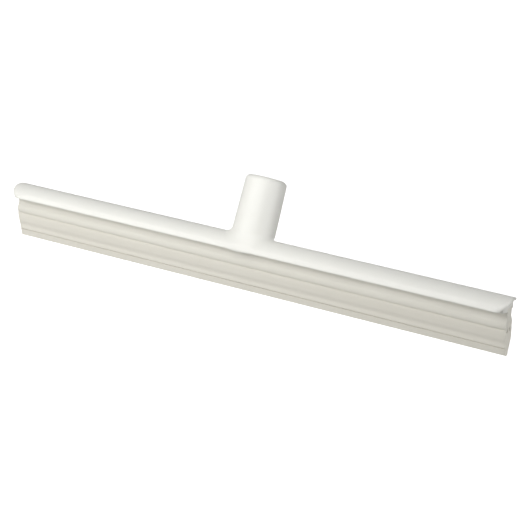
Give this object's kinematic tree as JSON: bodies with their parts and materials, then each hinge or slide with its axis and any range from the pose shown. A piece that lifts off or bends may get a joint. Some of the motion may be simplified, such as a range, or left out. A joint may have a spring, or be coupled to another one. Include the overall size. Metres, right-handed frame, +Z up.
{
  "type": "floor squeegee",
  "caption": "Floor squeegee head: arched white rail with an inclined handle socket, a slide-in blade carrier and a cream rubber wiping blade.",
  "frame": {"origin": "centre of the handle socket's mouth, on the socket's axis", "axes": "+X along the blade (to the right seen from the front), +Y to the back, +Z up with the blade upright; the socket leans back from +Z towards +Y"},
  "size_m": [0.506, 0.0653, 0.1003],
  "materials": {
    "white_polypropylene": "satin moulded, slightly scuffed",
    "cream_rubber": "matt moulded rubber"
  },
  "bodies": {
    "frame": {"rail": "white_polypropylene", "handle_socket": "white_polypropylene"},
    "cassette": {"blade_carrier": "white_polypropylene"},
    "blade": {"blade": "cream_rubber"}
  },
  "joints": [
    {"name": "cassette_slide", "type": "slide", "parent": "frame", "child": "cassette", "axis": [-1, 0, 0], "range_m": [0, 0.5]},
    {"name": "blade_flex", "type": "hinge", "parent": "cassette", "child": "blade", "pos_m": [0, -0.03569, -0.06622], "axis": [1, 0, 0], "range_deg": [-15, 15], "stiffness_Nm_per_rad": 2}
  ]
}
